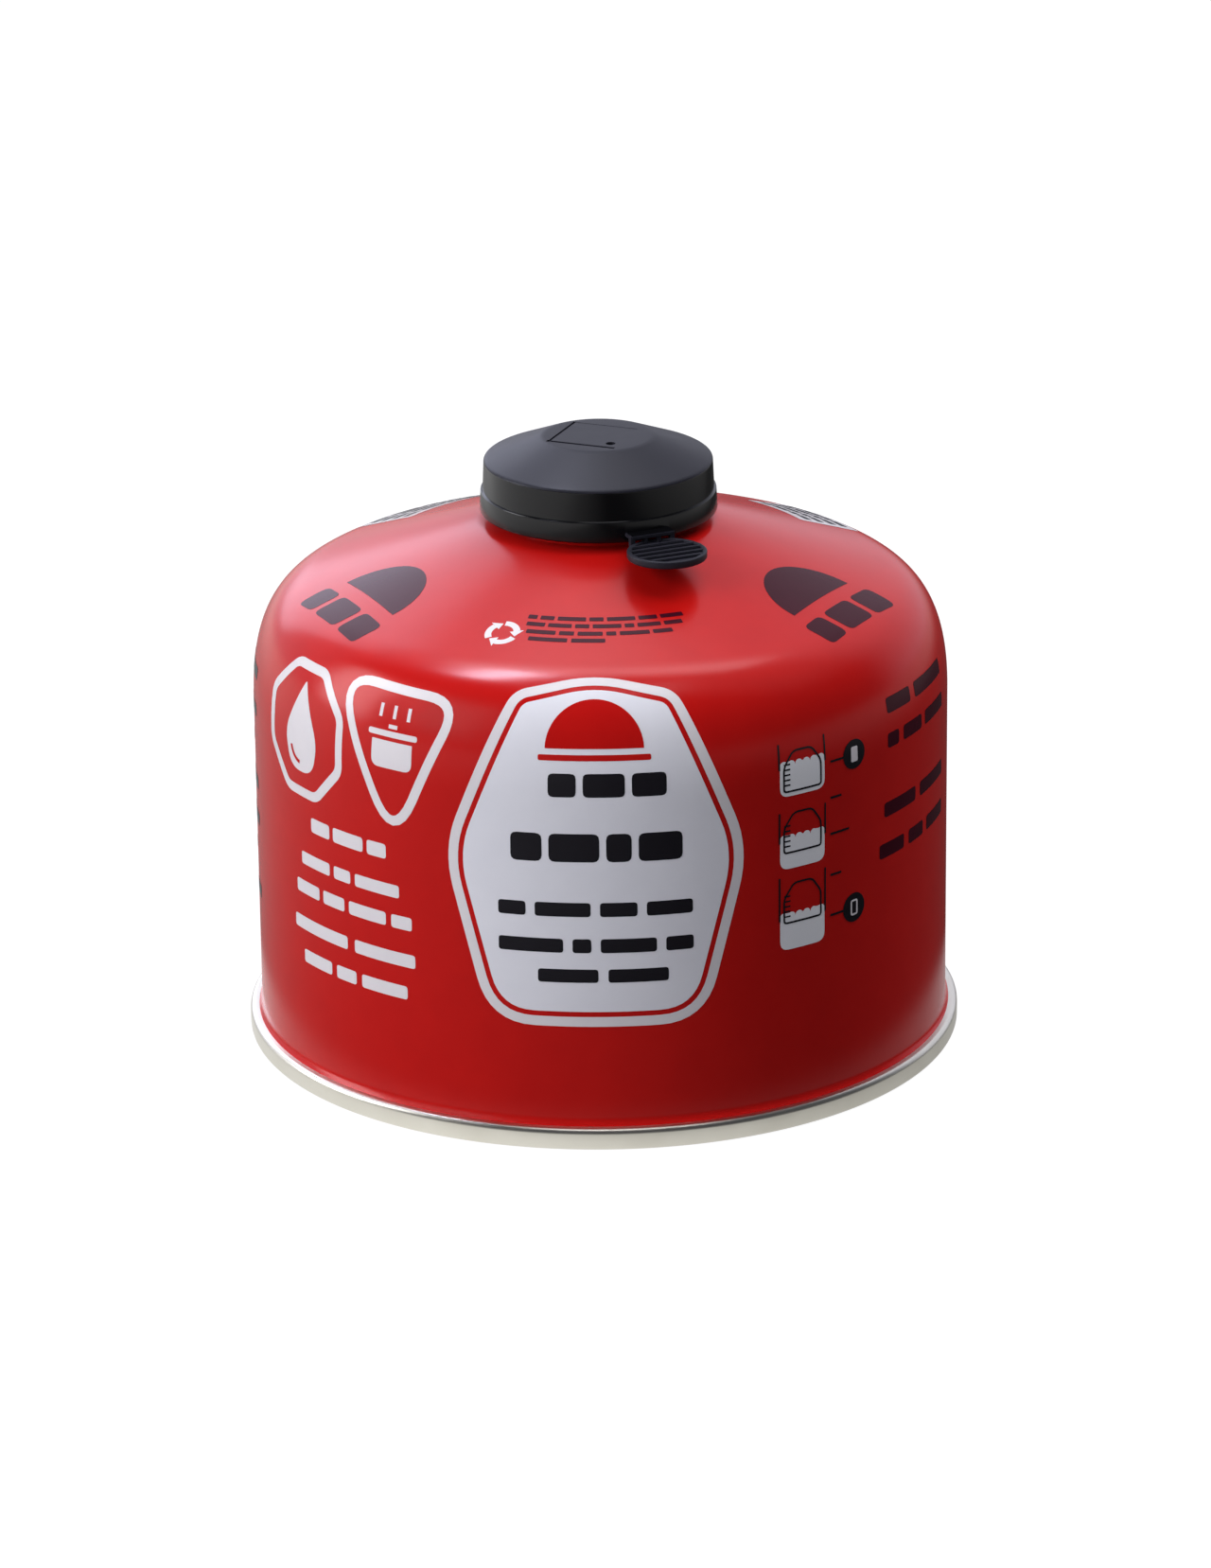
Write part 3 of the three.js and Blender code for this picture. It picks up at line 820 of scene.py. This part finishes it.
TOP_EDGE = ((0.5, -0.5 * CONE_SLOPE), (0.2, -0.2 * CONE_SLOPE), (-0.2, 0.0), (-0.5, 0.0))
DULL_PITCH = 5.0
DULL_SPREAD = (0.88, 1.12)
GRAIN_DEPTH = 0.02
CAP_TURNS = 192


def moulded(name, colour, shade, roughness, grain, depth, sheen=0.5):
    """A moulded plastic: a fine grain from the tool softens its highlights, and its dullness varies."""
    material = new_material(name)
    place = node(material, "ShaderNodeTexCoord").outputs["Object"]
    cloud = node(material, "ShaderNodeTexNoise", inputs={
        "Vector": place, "Scale": 1 / (DULL_PITCH * MM), "Detail": 4.0})
    tone = node(material, "ShaderNodeMix", {"data_type": "RGBA"}, {
        "Factor": cloud.outputs["Fac"], "A": linear(colour), "B": linear(shade)})
    rough = node(material, "ShaderNodeMapRange", inputs={
        "Value": cloud.outputs["Fac"],
        "To Min": roughness * DULL_SPREAD[0], "To Max": roughness * DULL_SPREAD[1]})
    fine = node(material, "ShaderNodeTexNoise", inputs={
        "Vector": place, "Scale": 1 / (grain * MM), "Detail": 2.0})
    bump = node(material, "ShaderNodeBump", inputs={
        "Height": fine.outputs["Fac"], "Strength": depth, "Distance": GRAIN_DEPTH * MM})
    shader = node(material, "ShaderNodeBsdfPrincipled", inputs={
        "Base Color": tone.outputs["Result"], "Roughness": rough.outputs["Result"], "IOR": 1.51,
        "Specular IOR Level": sheen, "Normal": bump.outputs["Normal"]})
    return finish_with(material, shader)


inside_top = CAP_TOP - CAP_WALL


def inside_cone(radius):
    """The point under the cone at a radius."""
    return radius, inside_top - CONE_SLOPE * max(radius - CAP_TOP_RADIUS, 0)


cone_edge = [(WALL_TOP_RADIUS + x, CONE_FOOT + z) for x, z in CONE_EDGE]
top_edge = [(CAP_TOP_RADIUS + x, CAP_TOP + z) for x, z in TOP_EDGE]
cap_line = [
    (0, inside_top), (CAP_TOP_RADIUS, inside_top),
    inside_cone(STOP_RING[0]), (STOP_RING[0], CUP_TOP),
    (STOP_RING[1], CUP_TOP), inside_cone(STOP_RING[1]),
    inside_cone(SKIRT_BORE), (SKIRT_BORE, CUP_TOP + BORE_CHAMFER), (BAND_BORE, CUP_TOP - BORE_CHAMFER),
    (BAND_BORE, BAND_BOTTOM + LIP_SLOPE_TOP), (LIP_BORE, BAND_BOTTOM + LIP_HEIGHT),
    (LIP_BORE, BAND_BOTTOM + LIP_CHAMFER), (LIP_BORE + LIP_CHAMFER, BAND_BOTTOM),
    *arc(BAND_RADIUS - BAND_BEND, BAND_BOTTOM + BAND_BEND, BAND_BEND, -90, 0, 4),
    *arc(LEDGE_RADIUS - LEDGE_BEND, CUP_TOP - LEDGE_BEND, LEDGE_BEND, 0, 90, 4),
    (WALL_FOOT_RADIUS + LEDGE_FILLET, CUP_TOP), (WALL_FOOT_RADIUS, CUP_TOP + LEDGE_FILLET),
    *curve(*cone_edge, 6),
    *curve(*top_edge, 5),
    (0, CAP_TOP),
]
cap = spin("cap", cap_line, CAP_TURNS)


def block(name, lengths, x, y, z, soften=0.0):
    """A bar from its lengths and the middle of its underside, with softened edges."""
    shape = bmesh.new()
    bmesh.ops.create_cube(shape, size=1.0)
    for vert in shape.verts:
        along = (vert.co.x * lengths[0] + x, vert.co.y * lengths[1] + y, (vert.co.z + 0.5) * lengths[2] + z)
        vert.co = Vector(along) * MM
    if soften:
        bmesh.ops.bevel(shape, geom=shape.edges[:], offset=soften * MM, segments=2, affect="EDGES")
    return from_shape(name, shape)


def combine(piece, tool, operation):
    """Joins a closed solid to a piece or cuts it away, and drops the tool."""
    step = piece.modifiers.new(operation, "BOOLEAN")
    step.operation = operation
    step.object = tool
    step.solver = "EXACT"
    bpy.context.view_layer.update()
    made = piece.evaluated_get(bpy.context.evaluated_depsgraph_get())
    mesh = bpy.data.meshes.new_from_object(made)
    piece.modifiers.clear()
    piece.data = mesh
    bpy.data.objects.remove(tool)


PANEL_SIDE = 10.3
PANEL_DEPTH = 0.03
PANEL_TURN = -22
PANEL_PLACE = (-0.7, 0.0)
SIDE_GROOVE = 0.36
FRONT_GROOVE = 0.7
GROOVE_DEPTH = 0.3
VENT_RADIUS = 0.75
VENT_PLACE = (1.9, -4.4)
VENT_OVERSHOOT = 1
VENT_TURNS = 32

half_side = PANEL_SIDE / 2
onto_panel = Matrix.Translation((PANEL_PLACE[0] * MM, PANEL_PLACE[1] * MM, 0))
onto_panel @= Matrix.Rotation(math.radians(PANEL_TURN), 4, "Z")
# the panel, and the deeper line along its left and front edges
for wide, deep, x, y, depth in (
    (PANEL_SIDE, PANEL_SIDE, 0, 0, PANEL_DEPTH),
    (SIDE_GROOVE, PANEL_SIDE + SIDE_GROOVE, -half_side, 0, GROOVE_DEPTH),
    (PANEL_SIDE + FRONT_GROOVE, FRONT_GROOVE, 0, -half_side, GROOVE_DEPTH),
):
    recess = block("recess", (wide, deep, 2 * depth), x, y, CAP_TOP - depth)
    recess.data.transform(onto_panel)
    combine(cap, recess, "DIFFERENCE")
vent_low, vent_high = inside_top - VENT_OVERSHOOT, CAP_TOP + VENT_OVERSHOOT
vent_line = [(0, vent_low), (VENT_RADIUS, vent_low), (VENT_RADIUS, vent_high), (0, vent_high)]
vent = spin("vent", vent_line, VENT_TURNS)
vent.data.transform(Matrix.Translation((VENT_PLACE[0] * MM, VENT_PLACE[1] * MM, 0)))
combine(cap, vent, "DIFFERENCE")

TAB_RADIUS = 6.0
TAB_TURNS = 96
TAB_TURN = 24
TAB_GAP = 0.8
TAB_DROP = 0.7
TAB_FOOT_BEND = 0.3
TAB_RIM_BEND = 0.2
TAB_POCKET_BEND = 0.15
TAB_THICKNESS = 0.8
TAB_RIM_WALL = 0.7
TAB_RIM_HEIGHT = 0.35
TAB_RIBS = 5
TAB_RIB_WIDTH = 0.6
RIB_SOFTNESS = 0.12
PLATE_WIDTH = 7.2
PLATE_REACH = 1.9
PLATE_THICKNESS = 0.7
PLATE_LIFT = 0.45
PLATE_SOFTNESS = 0.15
FINGERS = 4
FINGER_WIDTH = 0.7
GRAIN_BELOW_CONE = 0.3
GRAIN_PAST_BAND = 0.1
CAP_CRISP = 30

tab_middle = BAND_RADIUS + TAB_GAP + TAB_RADIUS
tab_under = BAND_BOTTOM - TAB_DROP
tab_floor = tab_under + TAB_THICKNESS
tab_rim = tab_floor + TAB_RIM_HEIGHT
pocket = TAB_RADIUS - TAB_RIM_WALL
tab_line = [
    (0, tab_under),
    *arc(TAB_RADIUS - TAB_FOOT_BEND, tab_under + TAB_FOOT_BEND, TAB_FOOT_BEND, -90, 0, 4),
    *arc(TAB_RADIUS - TAB_RIM_BEND, tab_rim - TAB_RIM_BEND, TAB_RIM_BEND, 0, 90, 4),
    *arc(pocket + TAB_POCKET_BEND, tab_rim - TAB_POCKET_BEND, TAB_POCKET_BEND, 90, 180, 3),
    (pocket, tab_floor), (0, tab_floor),
]
tab = spin("tab", tab_line, TAB_TURNS)
tab.data.transform(Matrix.Translation((tab_middle * MM, 0, 0)))
rib_pitch = 2 * pocket / (TAB_RIBS + 1)
for i in range(1, TAB_RIBS + 1):
    x = i * rib_pitch - pocket
    length = 2 * math.sqrt((pocket + TAB_RIM_WALL / 2) ** 2 - x ** 2)
    rib = block("rib", (TAB_RIB_WIDTH, length, 2 * TAB_RIM_HEIGHT),
                tab_middle + x, 0, tab_floor - TAB_RIM_HEIGHT, RIB_SOFTNESS)
    combine(tab, rib, "UNION")
plate_low = tab_rim + PLATE_LIFT
plate_start = BAND_RADIUS - CAP_WALL / 2
plate = block("plate", (CAP_WALL / 2 + PLATE_REACH, PLATE_WIDTH, PLATE_THICKNESS),
              plate_start + (CAP_WALL / 2 + PLATE_REACH) / 2, 0, plate_low, PLATE_SOFTNESS)
combine(tab, plate, "UNION")
finger_height = plate_low + PLATE_THICKNESS / 2 - tab_under - TAB_THICKNESS / 2
for i in range(FINGERS):
    y = -PLATE_WIDTH / 2 + FINGER_WIDTH / 2 + i * (PLATE_WIDTH - FINGER_WIDTH) / (FINGERS - 1)
    on_rim = tab_middle - math.sqrt(TAB_RADIUS ** 2 - y ** 2) + TAB_RIM_WALL / 2
    x = min(on_rim, BAND_RADIUS + PLATE_REACH - (PLATE_REACH - TAB_GAP) / 2)
    finger = block("finger", (PLATE_REACH - TAB_GAP, FINGER_WIDTH, finger_height),
                   x, y, tab_under + TAB_THICKNESS / 2, RIB_SOFTNESS)
    combine(tab, finger, "UNION")
tab.data.transform(Matrix.Rotation(math.radians(TAB_TURN - 90), 4, "Z"))
combine(cap, tab, "UNION")
cap.data.shade_smooth()
cap.data.set_sharp_from_angle(angle=math.radians(CAP_CRISP))
cap.data.materials.clear()
# black polyethylene from the etched part of the mould: a dull charcoal on the cone, the top and the tab
grained = moulded("grained_polyethylene", "#222229", "#292931", 0.42, 0.35, 0.3, sheen=0.12)
# and from the polished part: a near black on the skirt and its band, which mirrors the room in streaks
polished = moulded("polished_polyethylene", "#08080A", "#0C0C0E", 0.16, 1.5, 0.06, sheen=0.3)
cap.data.materials.append(grained)
cap.data.materials.append(polished)
for face in cap.data.polygons:
    on_cone = face.center.z > (CONE_FOOT - GRAIN_BELOW_CONE) * MM
    on_tab = math.hypot(face.center.x, face.center.y) > (BAND_RADIUS + GRAIN_PAST_BAND) * MM
    face.material_index = 0 if on_cone or on_tab else 1
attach(cap, "root")
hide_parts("cap")

# Valve
# Under the cap: a gold-lacquered cup clinched over the can's mouth, and the sealed screw valve in it.
# The frame's own solids stay, with their finishes.

# gold lacquer on tinplate: a warm metal with fine lines round it from the press
gold = metal("gold_lacquered_tinplate", "#C9B98A", "#BBA976", 0.32, 0.1)
# nitrile rubber: a soft, dull dark grey with a fine bloom
rubber = moulded("nitrile_rubber", "#242426", "#2B2B2D", 0.7, 0.2, 0.3)
# natural acetal: a smooth creamy white with a low, waxy shine
acetal = moulded("white_acetal", "#E6E4DC", "#DEDBD1", 0.4, 0.3, 0.1)
for name, finish in (("valve_cup", gold), ("valve_seal", rubber), ("valve_housing", acetal)):
    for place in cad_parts[name].material_slots:
        place.material = finish

# Stage
# A white sweep of paper under the can, with soft boxes round it and a pale cove behind it, seen
# through a long lens from a metre away at the angle of the photo.

FLOOR_HALF = 6.0
PAPER = "#686868"
PAPER_GLOW = 0.93
PAPER_SPAN = 0.5
# places from left to right along the span, and how bright the paper is there in the can's reflections:
# painted light and shade in place of the lamps' light on the paper
PAINTED_LIGHT_FAR = ((0.0, 1.3), (0.25, 1.0), (0.34, 0.5), (0.56, 0.05), (0.72, 0.05), (0.95, 0.6))
PAINTED_LIGHT_NEAR = ((0.44, 0.85), (0.47, 1.05), (0.5, 0.9), (0.53, 0.65), (0.552, 0.5))
NEAR_END = 0.062
FAR_START = 0.072

floor_shape = bmesh.new()
bmesh.ops.create_grid(floor_shape, x_segments=1, y_segments=1, size=FLOOR_HALF)
floor = from_shape("floor", floor_shape)
# matt white paper that looks pure white round the can, and still takes its shadow; to the can's reflections
# it shows painted light instead
paper = new_material("white_paper")
rays = node(paper, "ShaderNodeLightPath")
spot = node(paper, "ShaderNodeTexCoord").outputs["Object"]
aside = node(paper, "ShaderNodeSeparateXYZ", inputs={"Vector": spot})
away = node(paper, "ShaderNodeVectorMath", {"operation": "LENGTH"}, {0: spot})
across = node(paper, "ShaderNodeMapRange", inputs={
    "Value": aside.outputs["X"], "From Min": -PAPER_SPAN, "From Max": PAPER_SPAN})
# painted reflections: the can mirrors one painted ramp of light and shade in the paper beside it, and
# another in the paper further off
painted_light_ramps = []
for stops in (PAINTED_LIGHT_NEAR, PAINTED_LIGHT_FAR):
    ramp = node(paper, "ShaderNodeValToRGB", inputs={"Fac": across.outputs["Result"]})
    ramp.color_ramp.elements[0].position, ramp.color_ramp.elements[1].position = stops[0][0], stops[-1][0]
    for place, _ in stops[1:-1]:
        ramp.color_ramp.elements.new(place)
    for stop, (_, level) in zip(ramp.color_ramp.elements, stops):
        stop.color = (level, level, level, 1)
    painted_light_ramps.append(ramp)
beside = node(paper, "ShaderNodeMapRange", {"interpolation_type": "SMOOTHSTEP"}, {
    "Value": away.outputs["Value"], "From Min": NEAR_END, "From Max": FAR_START})
painted_reflection = node(paper, "ShaderNodeMix", {"data_type": "RGBA"}, {
    "Factor": beside.outputs["Result"],
    "A": painted_light_ramps[0].outputs["Color"], "B": painted_light_ramps[1].outputs["Color"]})
seen = node(paper, "ShaderNodeMath", {"operation": "MAXIMUM"}, {
    0: rays.outputs["Is Camera Ray"], 1: rays.outputs["Is Transmission Ray"]})
glow = node(paper, "ShaderNodeMath", {"operation": "MULTIPLY"}, {0: seen.outputs[0], 1: PAPER_GLOW})
paper_diffuse = node(paper, "ShaderNodeBsdfDiffuse", inputs={"Color": linear(PAPER)})
paper_glow = node(paper, "ShaderNodeEmission", inputs={"Color": (1, 1, 1, 1), "Strength": glow.outputs[0]})
lit = node(paper, "ShaderNodeAddShader", inputs={0: paper_diffuse.outputs[0], 1: paper_glow.outputs[0]})
# painted light: glossy rays see the paper glow with the painted ramps, not with its lit diffuse
painted_reflection_glow = node(paper, "ShaderNodeEmission", inputs={"Color": painted_reflection.outputs["Result"]})
sheet = node(paper, "ShaderNodeMixShader", inputs={
    0: rays.outputs["Is Glossy Ray"], 1: lit.outputs[0], 2: painted_reflection_glow.outputs[0]})
finish_with(paper, sheet)
floor.data.materials.append(paper)
floor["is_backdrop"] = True

COVE = (0, 1, 0)
COVE_COLOUR = "#EDEFFF"
COVE_EDGE = (0.2, 0.55)
COVE_LEVELS = (0.08, 1.0)

# the room: a pale cove behind the can lights it a little, the front stays dim, and the camera sees white
world = bpy.data.worlds.new("studio")
bpy.context.scene.world = world
world.use_nodes = True
world.node_tree.nodes.clear()
world_rays = node(world, "ShaderNodeLightPath")
towards = node(world, "ShaderNodeTexCoord").outputs["Generated"]
cove = node(world, "ShaderNodeVectorMath", {"operation": "DOT_PRODUCT"}, {0: towards, 1: COVE})
cove_glow = node(world, "ShaderNodeMapRange", {"interpolation_type": "SMOOTHSTEP"}, {
    "Value": cove.outputs["Value"], "From Min": COVE_EDGE[0], "From Max": COVE_EDGE[1],
    "To Min": COVE_LEVELS[0], "To Max": COVE_LEVELS[1]})
white = node(world, "ShaderNodeBackground", inputs={"Color": (1, 1, 1, 1), "Strength": 1.0})
ambient = node(world, "ShaderNodeBackground", inputs={
    "Color": linear(COVE_COLOUR), "Strength": cove_glow.outputs[0]})
sky = node(world, "ShaderNodeMixShader", inputs={
    0: world_rays.outputs["Is Camera Ray"], 1: ambient.outputs[0], 2: white.outputs[0]})
node(world, "ShaderNodeOutputWorld", inputs={"Surface": sky.outputs[0]})

AIM = Vector((0, 0, 0.05))
SOFT_WHITE = "#FAFAFF"
COOL_WHITE = "#E4E8FF"


def soft_box(name, angle, height, distance, width, depth, radiance, colour=SOFT_WHITE):
    """A rectangular lamp round the can: degrees right of the front, degrees up, and metres away."""
    turn, lift = math.radians(angle), math.radians(height)
    way = Vector((math.sin(turn) * math.cos(lift), -math.cos(turn) * math.cos(lift), math.sin(lift)))
    lamp = bpy.data.lights.new(name, "AREA")
    lamp.shape = "RECTANGLE"
    lamp.size, lamp.size_y = width, depth
    lamp.energy = radiance * math.pi * width * depth
    lamp.color = linear(colour)[:3]
    holder = bpy.data.objects.new(name, lamp)
    holder.location = AIM + way * distance
    holder.rotation_euler = way.to_track_quat("Z", "Y").to_euler()
    bpy.context.scene.collection.objects.link(holder)
    return holder


# two lamps that light the can and leave no highlight: the key, and the bounce from the right
for lamp in (
    soft_box("key_left", -57, 24, 0.8, 0.5, 0.5, 6.7),
    soft_box("bounce_right", 105, 60, 1.0, 0.95, 0.95, 2.5),
):
    lamp.visible_glossy = False
# the bounce from above does both
soft_box("bounce_top", 10, 80, 1.0, 0.5, 0.4, 2.2)
# four lamps for their highlights alone: the key's on the wall, and three on the shoulder and the crown
for lamp in (
    soft_box("key_shine", -91, 21, 0.8, 0.32, 0.55, 8.5),
    soft_box("overhead", 175, 67, 0.9, 0.6, 0.2, 5.0),
    soft_box("streak", -134, 69, 0.9, 0.27, 0.1, 55.0, COOL_WHITE),
    soft_box("rear_left", -153, 27, 1.2, 0.6, 0.85, 2.6, COOL_WHITE),
):
    lamp.visible_diffuse = False

CAMERA_DISTANCE = 1.0
CAMERA_HEIGHT = 0.40363
CAMERA_PITCH = 20.085
CAMERA_ROLL = -0.6
CAMERA_SIDE = 0.0006
FOCAL_PIXELS = 7299.6
PHOTO_HEIGHT = 1657
SENSOR_WIDTH = 36.0

lens = bpy.data.cameras.new("long_lens")
lens.sensor_width = SENSOR_WIDTH
lens.sensor_fit = "AUTO"
lens.lens = FOCAL_PIXELS / PHOTO_HEIGHT * lens.sensor_width
camera = bpy.data.objects.new("camera", lens)
camera.location = (CAMERA_SIDE, -CAMERA_DISTANCE, CAMERA_HEIGHT)
pitch = Matrix.Rotation(math.radians(90 - CAMERA_PITCH), 3, "X")
roll = Matrix.Rotation(math.radians(CAMERA_ROLL), 3, "Z")
camera.rotation_euler = (pitch @ roll).to_euler()
bpy.context.scene.collection.objects.link(camera)
bpy.context.scene.camera = camera
bpy.context.scene.view_settings.view_transform = "Standard"

low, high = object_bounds()
